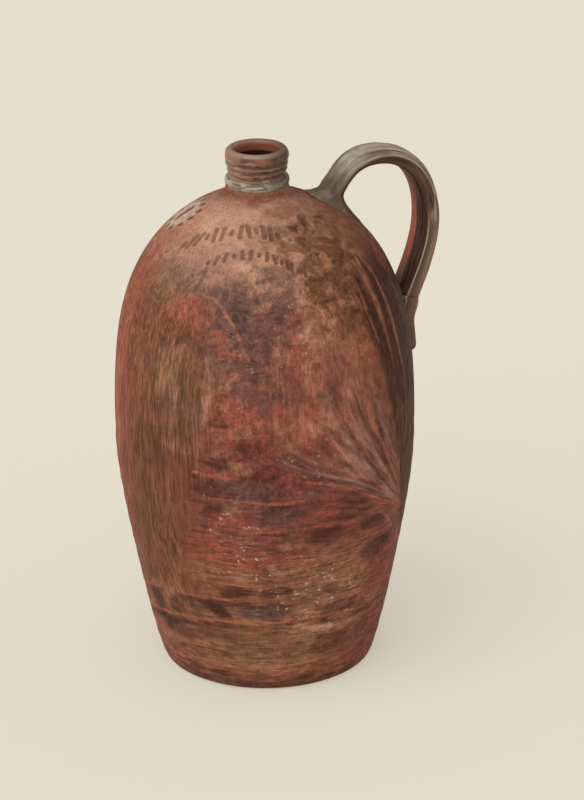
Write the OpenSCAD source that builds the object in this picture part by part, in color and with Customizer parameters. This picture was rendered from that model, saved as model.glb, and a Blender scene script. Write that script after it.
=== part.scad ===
// Ovoid stoneware jug: a thrown body, a collared neck with a rolled lip, a clay ring luted
// round the joint, and one pulled strap handle between the shoulder and the wall.
// Millimetres. Z is up, the foot stands on Z = 0 and the handle lies towards +X.

/* [Body] */
// Outer diameter at the belly, the widest place
belly_d = 170; // [150:1:200]
// Height of the belly above the ground
belly_h = 134.5; // [115:0.5:145]
// Outer diameter of the foot
foot_d = 121; // [100:1:135]
// Height of the rounded edge where the wall meets the underside
foot_edge = 2.5; // [1:0.1:5]
// Height of the land on the shoulder that carries the neck
seat_h = 283.5; // [274:0.5:292]
// Thickness of the thrown wall
wall = 7; // [5:0.5:9]
// Thickness of the floor
floor_t = 9; // [6:0.5:14]
// Radius of the inside corner between floor and wall
heel_r = 16; // [8:1:22]
// Height of one throwing ring
throw_pitch = 12; // [9:0.5:16]
// Depth of the throwing rings
throw_depth = 0.5; // [0.1:0.1:0.9]
// Height at which the outer throwing rings have faded out
throw_top = 156; // [60:1:160]

/* [Neck] */
// Diameter of the bore that takes the cork
bore_d = 24; // [18:0.5:26]
// Outer diameter of the neck above the ring
neck_d = 32.6; // [31:0.2:35]
// Outer diameter of the rolled lip
lip_d = 35.4; // [35:0.2:40]
// Height of the lip's crest above the land on the shoulder
neck_h = 20.7; // [19:0.1:26]
// Height of the rolled part of the lip
lip_h = 4.8; // [3.5:0.1:6]
// Depth of the lines left by the potter's rib
tool_depth = 0.4; // [0.1:0.05:0.7]
// Spacing of the rib lines
tool_pitch = 3.6; // [2.6:0.1:3.8]
// Step by which the spigot is thinner than the neck
spigot_step = 1.2; // [0.8:0.1:2]
// Distance by which the neck was set off the jug's axis, away from the handle
neck_shift = 2.4; // [1:0.2:3]

/* [Neck ring] */
// Outer diameter of the clay ring
ring_d = 36; // [35.6:0.2:41]
// Height of the clay ring
ring_h = 4.4; // [3.5:0.1:5.5]

/* [Handle] */
// Width of the strap
strap_w = 22; // [18:0.5:26]
// Thickness of the strap at its root
root_t = 7.4; // [6.5:0.1:12]
// Thickness of the strap at its crown
crown_t = 9.2; // [8:0.1:13]
// Thickness of the strap where it stands farthest out
reach_t = 12.6; // [10:0.1:14]
// Depth of the finger flutes along the strap
flute_depth = 1; // [0.2:0.1:1.6]
// Number of finger flutes
flute_count = 3; // [2:1:4]
// Height of the top of the strap above the land on the shoulder
crown_rise = 12.8; // [10:0.2:20]
// Distance of the crown from the jug's axis
crown_x = 67.5; // [62:0.5:72]
// Distance by which the strap stands out past the belly
reach_out = 21.2; // [18:0.2:32]
// Drop from the crown to the place where the strap stands farthest out
reach_drop = 40.6; // [34:0.2:46]
// Distance of the root from the jug's axis
root_x = 46.5; // [45.5:0.5:50]
// Height of the root wad above the shoulder
root_rise = 11.5; // [9:0.5:14]
// Length of the root's footprint, without the run of clay towards the neck
root_len = 27; // [24:0.5:30]
// Distance by which the root's clay runs on towards the neck
root_lead = 6; // [0:0.5:7]
// Width of the root's footprint
root_w = 30; // [27:0.5:36]
// Drop from the farthest reach to the place where the strap runs into the tail
tail_drop = 45.3; // [40:0.1:55]
// Length of the tail down to its tip
tail_len = 35; // [30:0.5:40]
// Thickness of the pressed tail
tail_t = 7.6; // [5:0.2:9]
// Width of the pressed tail
tail_w = 21; // [17:0.5:26]

/* [Fits] */
// Gap left between two luted pieces
lute_gap = 0.1; // [0.05:0.05:0.3]

/* [Hidden] */
$fn = 96;

belly_r = belly_d / 2;
foot_r = foot_d / 2;
bore_r = bore_d / 2;
neck_r = neck_d / 2;
lip_r = lip_d / 2;
ring_r = ring_d / 2;
spigot_r = neck_r - spigot_step;
hole_r = spigot_r + lute_gap;
cap_r = hole_r - neck_shift - wall / 4;
crest_z = seat_h + neck_h;

// The cove that lifts the shoulder up to the land under the ring
land_inset = 0.6;
cove_w = 5;
cove_h = 7.3;
land_r = ring_r - land_inset;
cove_r = land_r + cove_w;
cove_z = seat_h - cove_h;

// The wall's curve, in shares of the heights and widths that it spans
shoulder_slope_share = 0.369;
shoulder_reach_share = 0.965;
belly_rise_share = 0.448;
belly_fall_share = 0.233;
foot_rise_share = 0.022;
foot_flare_share = 0.158;
cove_slope_share = 0.75;
cove_foot_share = 0.35;
cove_head_share = 0.4;
cove_run_share = 1.5;
wall_steps = 36;
edge_steps = 6;
cove_steps = 6;
throw_steps = 6;

function mix(a, b, share) = a + (b - a) * share;
function ease(share) =
    share <= 0 ? 0 : share >= 1 ? 1 : share * share * (3 - 2 * share);
function unit(v) = v / norm(v);
function left_of(v) = [-v[1], v[0]];
function bezier_at(p, t) =
    let (s = 1 - t)
    s * s * s * p[0] + 3 * s * s * t * p[1] + 3 * s * t * t * p[2] + t * t * t * p[3];
function bezier_slope(p, t) =
    let (s = 1 - t)
    3 * (s * s * (p[1] - p[0]) + 2 * s * t * (p[2] - p[1]) + t * t * (p[3] - p[2]));
function bezier(p, n) = [for (i = [0:n]) bezier_at(p, i / n)];

// Outside of the body from the foot's edge to the belly, and on to the foot of the cove
lower_h = belly_h - foot_edge;
lower_curve = [
    [foot_r, foot_edge],
    [mix(foot_r, belly_r, foot_flare_share), foot_edge + foot_rise_share * lower_h],
    [belly_r, belly_h - belly_fall_share * lower_h],
    [belly_r, belly_h]
];
shoulder_w = belly_r - cove_r;
shoulder_reach = shoulder_reach_share * shoulder_w;
upper_curve = [
    [belly_r, belly_h],
    [belly_r, mix(belly_h, cove_z, belly_rise_share)],
    [cove_r + shoulder_reach, cove_z - shoulder_slope_share * shoulder_reach],
    [cove_r, cove_z]
];
cove_curve = [
    [cove_r, cove_z],
    [cove_r - cove_foot_share * cove_w, cove_z + cove_slope_share * cove_foot_share * cove_w],
    [land_r, mix(cove_z, seat_h, cove_head_share)],
    [land_r, seat_h]
];
lower_wall = bezier(lower_curve, wall_steps);
upper_wall = bezier(upper_curve, wall_steps);

// Radius of the wall at a height, and height of the shoulder at a radius
wall_heights = [for (p = concat(lower_wall, upper_wall)) [p[1], p[0]]];
function wall_r(z) = lookup(z, wall_heights);
function shoulder_z(r) = lookup(r, upper_wall);

// Shallow rings that the fingers leave on the thrown clay, faded towards both ends
function throw_ring(z, low, high) =
    throw_depth * (1 - cos(360 * (z - low) / throw_pitch)) / 2
    * ease((z - low) / throw_pitch) * ease((high - z) / throw_pitch);

// The inside follows the outside at the wall's thickness
function inside_of(curve, t) = bezier_at(curve, t) + wall * left_of(unit(bezier_slope(curve, t)));
inner_wall = concat(
    [for (i = [0:wall_steps]) inside_of(lower_curve, i / wall_steps)],
    [for (i = [1:wall_steps]) inside_of(upper_curve, i / wall_steps)]
);
inner_heights = [for (p = inner_wall) [p[1], p[0]]];
function inner_r(z) = lookup(z, inner_heights);
heel_top = floor_t + heel_r;
heel_x = inner_r(heel_top);
inner_end = inner_wall[len(inner_wall) - 1];
function inner_z(r) = inner_end[1] + shoulder_slope_share * (inner_end[0] - r);
spigot_z = inner_z(hole_r);
inner_throw_top = inner_wall[len(inner_wall) - wall_steps / 2][1];

throw_rise = throw_pitch / throw_steps;
function outer_profile() = concat(
    [for (a = [0:90 / edge_steps:90]) [foot_r - foot_edge * (1 - sin(a)), foot_edge * (1 - cos(a))]],
    [for (z = [foot_edge + throw_rise:throw_rise:throw_top])
        [wall_r(z) - throw_ring(z, foot_edge, throw_top), z]],
    [for (p = upper_wall) if (p[1] > throw_top) p],
    [[cap_r, cove_z + shoulder_slope_share * (cove_r - cap_r)]]
);
function inner_profile() = concat(
    [[cap_r, inner_z(cap_r)]],
    [for (i = [len(inner_wall) - 1:-1:0]) if (inner_wall[i][1] > inner_throw_top) inner_wall[i]],
    [for (z = [inner_throw_top:-throw_rise:heel_top])
        [inner_r(z) - throw_ring(z, heel_top, inner_throw_top), z]],
    bezier([[heel_x, heel_top], [heel_x, mix(floor_t, heel_top, 1 / 2)],
        [heel_x - heel_r / 2, floor_t], [heel_x - heel_r, floor_t]], cove_steps),
    [[0, floor_t], [0, 0]]
);

// The raised seat under the neck, which runs down into the shoulder all round
seat_run = cove_run_share * neck_shift;
seat_foot = [cove_r + seat_run, cove_z - cove_slope_share * seat_run];
module neck_seat() {
    rotate_extrude()
        polygon(concat(
            [[cap_r, inner_z(cap_r) + wall / 2], seat_foot - [0, wall / 4], seat_foot],
            bezier(cove_curve, cove_steps),
            [[cap_r, seat_h]]
        ));
}

module body() {
    color("#8a5a40")
        difference() {
            union() {
                rotate_extrude()
                    polygon(concat(outer_profile(), inner_profile()));
                translate([-neck_shift, 0, 0])
                    neck_seat();
            }
            translate([-neck_shift, 0, spigot_z - wall])
                cylinder(r = hole_r, h = seat_h - spigot_z + 2 * wall);
        }
}

// The neck: a spigot in the shoulder's hole, a ribbed collar and a rolled lip round the bore
neck_z = seat_h + lute_gap;
ring_top = neck_z + ring_h;
lip_z = crest_z - lip_h;
neck_steps = 30;
lip_steps = 10;
ring_steps = 20;
crest_share = 0.45;
mouth_share = 0.55;
crest_r = mix(bore_r, lip_r, crest_share);
mouth_drop = mouth_share * lip_h;
function tool_line(z) =
    z < ring_top || z > lip_z ? 0
    : tool_depth * (1 - cos(360 * (lip_z - z) / tool_pitch)) / 2;
function collar_r(z) = mix(neck_r, lip_r, ease((z - ring_top) / (lip_z - ring_top)));

lip_curve = [
    [lip_r, lip_z],
    [lip_r, mix(lip_z, crest_z, 2 / 3)],
    [mix(crest_r, lip_r, 2 / 3), crest_z],
    [crest_r, crest_z]
];
mouth_curve = [
    [crest_r, crest_z],
    [mix(bore_r, crest_r, 1 / 3), crest_z],
    [bore_r, crest_z - mouth_drop / 3],
    [bore_r, crest_z - mouth_drop]
];

module neck() {
    color("#7c5844")
        translate([-neck_shift, 0, 0])
            rotate_extrude()
                polygon(concat(
                    [[bore_r, spigot_z], [spigot_r, spigot_z], [spigot_r, neck_z], [neck_r, neck_z]],
                    [for (i = [0:neck_steps]) let (z = mix(ring_top, lip_z, i / neck_steps))
                        [collar_r(z) - tool_line(z), z]],
                    bezier(lip_curve, lip_steps),
                    bezier(mouth_curve, lip_steps)
                ));
}

// The ring: a coil of clay pressed round the joint, round outside and flat on its seat
ring_in = neck_r + lute_gap;
ring_curve = [
    [land_r, neck_z],
    [ring_r + land_inset / 2, mix(neck_z, ring_top, 1 / 3)],
    [ring_r + land_inset / 2, mix(neck_z, ring_top, 4 / 5)],
    [ring_in, ring_top]
];
module neck_ring() {
    color("#a09a8c")
        translate([-neck_shift, 0, 0])
            rotate_extrude()
                polygon(concat([[ring_in, neck_z]], bezier(ring_curve, ring_steps)));
}

// The strap's centreline in the plane Y = 0: root, crown, farthest reach, tail
crown_z = seat_h + crown_rise - crown_t / 2;
reach_x = belly_r + reach_out - reach_t / 2;
reach_z = crown_z - reach_drop;
tail_top_z = reach_z - tail_drop;
tail_tip_z = tail_top_z - tail_len;
root_shift = 3.2;
root_top = [root_x - root_shift, shoulder_z(root_x) + root_rise];
tail_stand_share = 0.56;
tail_x = wall_r(tail_top_z) + tail_stand_share * reach_t;
root_lean_share = 0.22;
root_climb_share = 0.66;
crown_back_share = 0.5;
crown_ahead_share = 0.62;
reach_up_share = 0.57;
reach_down_share = 0.36;
tail_lean_share = 0.45;
tail_climb_share = 0.33;
strap_curves = [
    [root_top,
        [mix(root_top[0], crown_x, root_lean_share), mix(root_top[1], crown_z, root_climb_share)],
        [mix(crown_x, root_top[0], crown_back_share), crown_z],
        [crown_x, crown_z]],
    [[crown_x, crown_z],
        [mix(crown_x, reach_x, crown_ahead_share), crown_z],
        [reach_x, mix(reach_z, crown_z, reach_up_share)],
        [reach_x, reach_z]],
    [[reach_x, reach_z],
        [reach_x, mix(reach_z, tail_top_z, reach_down_share)],
        [mix(tail_x, reach_x, tail_lean_share), mix(tail_top_z, reach_z, tail_climb_share)],
        [tail_x, tail_top_z]]
];
strap_steps = 18;

// Section of the strap: a fluted crown outside and a flatter back towards the hand
front_steps = 36;
back_steps = 18;
front_power = 2.2;
back_power = 4;
fluted_share = 0.84;
edge_angles = concat(
    [for (i = [0:front_steps - 1]) -90 + 180 * i / front_steps],
    [for (i = [0:back_steps - 1]) 90 + 180 * i / back_steps]
);
function flute(y_share) =
    abs(y_share) > fluted_share ? 0
    : flute_depth * (1 - cos(180 * (flute_count * (y_share / fluted_share + 1)))) / 2;
function section_x(a, back) =
    let (power = cos(a) > 0 ? front_power : back)
    sign(cos(a)) * pow(max(0, 1 - pow(abs(sin(a)), power)), 1 / power);
function section_cut(a) = cos(a) > 0 ? flute(sin(a)) : 0;

// One ring of the strap at a place and direction: X of the section points away from the hand
function strap_ring(at, along, thick) =
    let (out = left_of(unit(along)))
    [for (a = edge_angles)
        let (x = thick / 2 * section_x(a, back_power) - section_cut(a))
        [at[0] + out[0] * x, strap_w / 2 * sin(a), at[1] + out[1] * x]];

// A closed solid through rings that have the same number of points
function middle(ring) = [for (p = ring) 1 / len(ring)] * ring;
module loft(rings) {
    n = len(rings[0]);
    m = len(rings);
    points = concat([for (ring = rings) each ring], [middle(rings[0]), middle(rings[m - 1])]);
    sides = [for (k = [0:m - 2], i = [0:n - 1])
        let (a = k * n + i, b = k * n + (i + 1) % n)
        each [[a, b, b + n], [a, b + n, a + n]]];
    caps = [for (i = [0:n - 1])
        let (j = (i + 1) % n, last = (m - 1) * n)
        each [[j, i, m * n], [last + i, last + j, m * n + 1]]];
    polyhedron(points, concat(sides, caps));
}

strap_thick = [root_t, crown_t, reach_t, reach_t];
module handle() {
    color("#6f6657")
        loft([for (s = [0:2], i = [(s == 0 ? 0 : 1):strap_steps])
            let (t = i / strap_steps)
            strap_ring(bezier_at(strap_curves[s], t), bezier_slope(strap_curves[s], t),
                mix(strap_thick[s], strap_thick[s + 1], t))]);
}

// The root: a wad of clay that carries the strap and spreads over the shoulder
root_edge = 0.6;
root_lift = 1.8;
root_steps = 10;
root_pull_share = 0.5;
root_spread_share = 0.72;
root_floor_shares = [0.04, 0.24, 0.44, 0.64, 0.82, 1];
function on_shoulder(x, y, lift) = [x, y, shoulder_z(norm([x, y])) + lift];
function root_reach(a) = root_len / 2 + (cos(a) > 0 ? root_lead : 0);
function root_foot(a, share, lift) =
    on_shoulder(root_x - share * root_reach(a) * cos(a), share * root_w / 2 * sin(a), lift);

module handle_root() {
    along = unit(bezier_slope(strap_curves[0], 0));
    down = [-along[0], 0, -along[1]];
    top = strap_ring(strap_curves[0][0] - lute_gap * along, along, root_t);
    n = len(edge_angles);
    curves = [for (i = [0:n - 1])
        let (a = edge_angles[i])
        [root_foot(a, 1, root_edge + lute_gap),
            root_foot(a, root_spread_share, root_edge + root_lift),
            top[i] + root_pull_share * root_rise * down,
            top[i]]];
    color("#5b5146")
        loft(concat(
            [for (share = root_floor_shares) [for (a = edge_angles) root_foot(a, share, lute_gap)]],
            [for (k = [0:root_steps]) [for (c = curves) bezier_at(c, k / root_steps)]]
        ));
}

// The tail: the strap's lower end, pressed on the wall and rounded off at its tip
tail_steps = 20;
tail_press_share = 0.3;
tail_thin_share = 0.45;
tail_round_share = 0.16;
tail_blunt_share = 0.2;
tail_back_power = 12;
function tail_round(u) =
    let (v = max(0, (u - 1 + tail_round_share) / tail_round_share))
    mix(tail_blunt_share, 1, sqrt(1 - v * v));
function wall_sag(z, y) = wall_r(z) - sqrt(pow(wall_r(z), 2) - y * y);

function tail_ring(u, start, out) =
    let (back = start - out * reach_t / 2, front = start + out * reach_t / 2)
    let (back_z = mix(back[1], tail_tip_z, u), front_z = mix(front[1], tail_tip_z, u))
    let (press = ease(u / tail_press_share))
    let (stand = back[0] - wall_r(back[1]), full = front[0] - wall_r(front[1]))
    let (back_x = wall_r(back_z) + mix(stand, lute_gap, press))
    let (front_x = wall_r(front_z) + lute_gap
        + mix(full - lute_gap, tail_t, ease(u / tail_thin_share)) * tail_round(u))
    let (width = mix(strap_w, tail_w, u) * tail_round(u))
    let (power = mix(back_power, tail_back_power, press))
    [for (a = edge_angles)
        let (y = width / 2 * sin(a), share = (1 + section_x(a, power)) / 2)
        let (z = mix(back_z, front_z, share))
        let (cut = section_cut(a) * (1 - ease(u)) + press * wall_sag(z, y))
        [mix(back_x, front_x, share) - cut, y, z]];

module handle_tail() {
    along = unit(bezier_slope(strap_curves[2], 1));
    start = strap_curves[2][3] + lute_gap * along;
    color("#6a5344")
        loft([for (k = [0:tail_steps]) tail_ring(k / tail_steps, start, left_of(along))]);
}

body();
neck();
neck_ring();
handle();
handle_root();
handle_tail();
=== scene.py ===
import math
import random

import bpy
import numpy as np
from mathutils import Matrix, Vector, noise


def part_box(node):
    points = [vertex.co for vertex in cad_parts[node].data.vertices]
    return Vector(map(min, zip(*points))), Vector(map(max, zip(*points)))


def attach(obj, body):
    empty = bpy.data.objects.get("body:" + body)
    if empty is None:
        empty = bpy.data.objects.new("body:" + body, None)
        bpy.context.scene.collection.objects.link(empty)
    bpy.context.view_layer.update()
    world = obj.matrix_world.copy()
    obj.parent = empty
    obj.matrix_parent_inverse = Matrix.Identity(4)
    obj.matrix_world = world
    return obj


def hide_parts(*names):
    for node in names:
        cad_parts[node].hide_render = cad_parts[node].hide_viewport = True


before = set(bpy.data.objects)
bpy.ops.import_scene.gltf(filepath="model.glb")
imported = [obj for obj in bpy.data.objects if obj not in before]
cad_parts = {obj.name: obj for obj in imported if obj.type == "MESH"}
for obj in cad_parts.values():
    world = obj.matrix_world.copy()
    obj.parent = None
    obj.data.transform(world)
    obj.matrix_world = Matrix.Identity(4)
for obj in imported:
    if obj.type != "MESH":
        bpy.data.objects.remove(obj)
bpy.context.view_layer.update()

MM = 0.001

# Slip that closes the hair's gap at the strap's joints, and the roughness of its pulled clay
JOINT_SLIP = 0.12 * MM
STRAP_ROUGH = 0.2 * MM
# How far the rim of the root's wad is pressed down into the shoulder
FEATHER = 0.9 * MM
# Clay smoothed into the corner between the root and the strap, on the side of the neck
CORNER = (38.5 * MM, 274.2 * MM)
CORNER_FILL = 1.9 * MM
CORNER_REACH = 5.5 * MM
# Pitch of the collar's rib lines, in millimetres
RIB_PITCH = 3.6
# Points closer than this are one
WELD = 0.002 * MM

# Camera and light
CAMERA_TURN = -21.5
CAMERA_RISE = 22.5
CAMERA_FAR = 1.956
CAMERA_AIM_HEIGHT = 0.153
CAMERA_ASIDE = 0.0155
CAMERA_ROLL = -0.7
VIEW_HEIGHT = 0.4533
SENSOR = 36
PAPER = (226, 219, 203)
PAPER_GLOW = 0.55
AMBIENT = 0.76
GLOSS_AMBIENT = 0.12
SKY = (1, 0.98, 0.95, 1)
KEY = 1.42
KEY_TURN = CAMERA_TURN - 38
KEY_RISE = 50
KEY_SOFTNESS = 60
KEY_TINT = (1, 0.98, 0.94)

# Glaze colours, as the eye sees them
CHESTNUT = (120, 72, 54)
UMBER = (88, 54, 38)
# Near-black brown, also laid on as painted shade on the dark side and under the ring lines
DEEP_BROWN = (66, 38, 28)
EARTH = (106, 68, 46)
OLIVE = (98, 62, 41)
RUST = (150, 84, 62)
BRICK = (139, 69, 57)
TERRACOTTA = (142, 80, 62)
CRUST = (84, 50, 34)
OXBLOOD = (106, 50, 42)
TAN = (168, 122, 99)
PINK = (184, 134, 112)
MOSS = (116, 88, 65)
SLATE = (88, 64, 60)
LILAC = (138, 104, 98)
MAUVE = (130, 92, 82)
HONEY = (146, 102, 72)
COPPER = (134, 88, 62)
NUT = (118, 70, 46)
ASH = (186, 168, 150)
CLAY = (158, 88, 68)
SAND = (188, 146, 122)
RUNNY = (134, 84, 62)
SPECK = (196, 166, 150)
BURNT = (78, 50, 40)
BARE_DARK = (120, 84, 62)
BARE_LIGHT = (140, 100, 74)
# Collar
NECK_BROWN = (118, 78, 58)
NECK_DARK = (84, 54, 42)
NECK_WIPED = (166, 142, 124)
NECK_GROOVE = (74, 46, 38)
NECK_WARM = (152, 88, 62)
NECK_LIT_SIDE = (150, 120, 98)
NECK_SHADE = (70, 50, 46)
RIB_HIGHLIGHT = (160, 130, 110)
RIB_SHADE = (66, 42, 34)
LIP_HIGHLIGHT = (158, 134, 116)
MOUTH_SHADE = (50, 32, 28)
MOUTH_RIM = (112, 74, 58)
BORE_SHADE = (44, 28, 24)
BORE_LIT_TOP = (146, 84, 58)
# Coil round the joint
COIL_GREY = (108, 97, 84)
COIL_PALE = (174, 164, 147)
COIL_SHADE = (84, 72, 58)
COIL_BROWN = (96, 66, 50)
# Strap, its wad and its tail
STRAP_GREY = (144, 127, 112)
STRAP_DARK = (92, 76, 64)
STRAP_LIGHT = (164, 150, 134)
STRAP_ASH = (166, 158, 144)
STRAP_TAN = (136, 104, 81)
STRAP_UMBER = (106, 79, 61)
STRAP_BROWN = (84, 66, 54)
WAD_PALE = (112, 98, 84)
TAIL_DARK = (98, 64, 50)
TAIL_CLAY = (128, 84, 62)
HAND_DARK = (62, 38, 32)
HAND_BROWN = (98, 66, 52)
SALMON = (188, 98, 80)
SALMON_DEEP = (164, 80, 64)
EDGE_TAN = (142, 104, 82)
EDGE_PALE = (182, 156, 134)


def linear(colour):
    """Colour as the shaders want it, from values of 0 to 255."""
    shares = [c / 255 for c in colour]
    return [s / 12.92 if s <= 0.04045 else ((s + 0.055) / 1.055) ** 2.4 for s in shares]


def ease(share):
    share = np.clip(share, 0, 1)
    return share * share * (3 - 2 * share)


def deselect():
    bpy.ops.object.select_all(action="DESELECT")


def pick(obj):
    """Makes a piece the only one selected, and the one that operators act on."""
    deselect()
    obj.select_set(True)
    bpy.context.view_layer.objects.active = obj


def edit(obj):
    pick(obj)
    bpy.ops.object.mode_set(mode="EDIT")
    bpy.ops.mesh.select_mode(type="VERT")


def leave():
    bpy.ops.object.mode_set(mode="OBJECT")


def turned(name, profile, steps):
    """Turns a profile of (radius, height) points round the jug's axis, as on the wheel."""
    profile = [tuple(map(float, point)) for point in profile]
    deselect()
    r, z = profile[0]
    bpy.ops.mesh.primitive_plane_add(size=MM, location=(r, 0, z))
    obj = bpy.context.object
    obj.name = obj.data.name = name
    bpy.ops.object.transform_apply(location=True, rotation=True, scale=True)
    edit(obj)
    bpy.ops.mesh.select_all(action="SELECT")
    bpy.ops.mesh.merge(type="CENTER")
    for (r0, z0), (r1, z1) in zip(profile, profile[1:]):
        move = {"value": (r1 - r0, 0, z1 - z0)}
        bpy.ops.mesh.extrude_region_move(TRANSFORM_OT_translate=move)
    bpy.ops.mesh.select_all(action="SELECT")
    bpy.ops.mesh.spin(steps=steps, angle=math.tau, center=(0, 0, 0), axis=(0, 0, 1))
    bpy.ops.mesh.select_all(action="SELECT")
    bpy.ops.mesh.remove_doubles(threshold=WELD)
    bpy.ops.mesh.normals_make_consistent(inside=False)
    leave()
    return obj


def copy_of(node, name):
    """A copy of a CAD node with its loose triangles joined, to be worked on."""
    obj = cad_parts[node].copy()
    obj.data = obj.data.copy()
    obj.name = obj.data.name = name
    obj.parent = None
    for key in list(obj.keys()):
        del obj[key]
    obj.data.materials.clear()
    bpy.context.scene.collection.objects.link(obj)
    edit(obj)
    bpy.ops.mesh.select_all(action="SELECT")
    bpy.ops.mesh.remove_doubles(threshold=WELD)
    leave()
    return obj


def rows_of(items, key):
    """Three numbers of every point or face, one row each."""
    rows = np.empty(len(items) * 3)
    items.foreach_get(key, rows)
    return rows.reshape(-1, 3)


def points_of(obj):
    return rows_of(obj.data.vertices, "co")


def normals_of(obj):
    return rows_of(obj.data.vertex_normals, "vector")


def move_points(obj, co):
    obj.data.vertices.foreach_set("co", co.astype(np.float32).ravel())
    obj.data.update()


def subdivide_where(obj, wanted, cuts):
    """Cuts the faces whose centres are wanted into smaller ones."""
    edit(obj)
    bpy.ops.mesh.select_mode(type="FACE")
    bpy.ops.mesh.select_all(action="DESELECT")
    leave()
    obj.data.polygons.foreach_set("select", wanted(rows_of(obj.data.polygons, "center")))
    edit(obj)
    bpy.ops.mesh.subdivide(number_cuts=cuts)
    leave()


def store(obj, name, values, kind="FLOAT_VECTOR", key="vector"):
    """Keeps a few numbers per point, for the glaze to read."""
    layer = obj.data.attributes.new(name, kind, "POINT")
    layer.data.foreach_set(key, values.astype(np.float32).ravel())


def wobble(co, size, seed):
    """Soft unevenness from -1 to 1, with humps about size across."""
    away = Vector((seed * 3.7, seed * 1.3, seed * 2.1))
    return np.array([noise.noise(Vector(p) / size + away) for p in co])


# The thrown wall, felt along its outside and inside on the CAD body
low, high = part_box("body")
SEAT = high.z
neck_low, neck_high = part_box("neck")
NECK_X = (neck_low.x + neck_high.x) / 2
BELLY_R = high.y
CAMERA_FACING = math.radians(CAMERA_TURN - 90)
# Between these heights, under the ring, the body's axis goes over to the neck's
NECK_BLEND = (SEAT - 0.022, SEAT - 0.008)
# Spacing of the felt heights
FEEL = 0.4 * MM


def axis_x(z):
    """Place of the jug's own axis at a height: under the ring it goes over to the neck's."""
    start, end = NECK_BLEND
    return NECK_X * ease((z - start) / (end - start))


def felt_radius(node, x, z, inside=False):
    """Radius of a turned CAD node round its axis at x, felt from its side or from its hollow."""
    start, way = (0, -1) if inside else (-1, 1)
    hit, place, _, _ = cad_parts[node].ray_cast(Vector((x, start, z)), Vector((0, way, 0)))
    return -place.y if hit else 0


def inner_radius(z):
    return felt_radius("body", axis_x(z), z, inside=True)


def spread(points, spacing):
    """The same line with points at an even spacing along it."""
    points = np.array(points)
    along = np.r_[0, np.cumsum(np.hypot(*np.diff(points, axis=0).T))]
    count = max(2, round(along[-1] / spacing))
    places = np.linspace(0, along[-1], count + 1)
    return np.c_[np.interp(places, along, points[:, 0]), np.interp(places, along, points[:, 1])]


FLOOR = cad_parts["body"].ray_cast(Vector((0, 0, 0.1)), Vector((0, 0, -1)))[1].z
HOLE_R = inner_radius(SEAT - 0.004)
outer_heights = np.arange(FEEL, SEAT - FEEL / 2, FEEL)
OUTER = np.array([(felt_radius("body", axis_x(z), z), z) for z in outer_heights])
hole_foot = min(z for z in outer_heights if z > SEAT - 0.03 and inner_radius(z) < HOLE_R + FEEL)
inner_heights = np.arange(hole_foot - FEEL / 2, FLOOR + FEEL, -FEEL)
INNER = np.array([(inner_radius(z), z) for z in inner_heights])

# Throwing rings: their pitch, how far up they are wiped, and the share of their depth that stays
THROW_PITCH = 12 * MM
THROW_TOP = 0.17
THROW_SHARE = 0.4


def smoothed(radii, heights):
    """Radii with the throwing rings wiped down, as by a wet rib."""
    span = round(THROW_PITCH / (heights[1] - heights[0]))
    padded = np.pad(radii, span // 2, mode="edge")
    even = np.convolve(padded, np.ones(span) / span, mode="valid")[:len(radii)]
    mixed = even + THROW_SHARE * (radii - even)
    wiped = ease((heights - THROW_PITCH) / THROW_PITCH) * ease((THROW_TOP - heights) / THROW_PITCH)
    return radii + wiped * (mixed - radii)


OUTER[:, 0] = smoothed(OUTER[:, 0], OUTER[:, 1])
WALL_ALONG = np.r_[0, np.cumsum(np.hypot(*np.diff(OUTER, axis=0).T))]


def wall_radius(z):
    return np.interp(z, OUTER[:, 1], OUTER[:, 0])


def wall_length(z):
    """Length along the wall from the foot up to a height."""
    return np.interp(z, OUTER[:, 1], WALL_ALONG)


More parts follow.
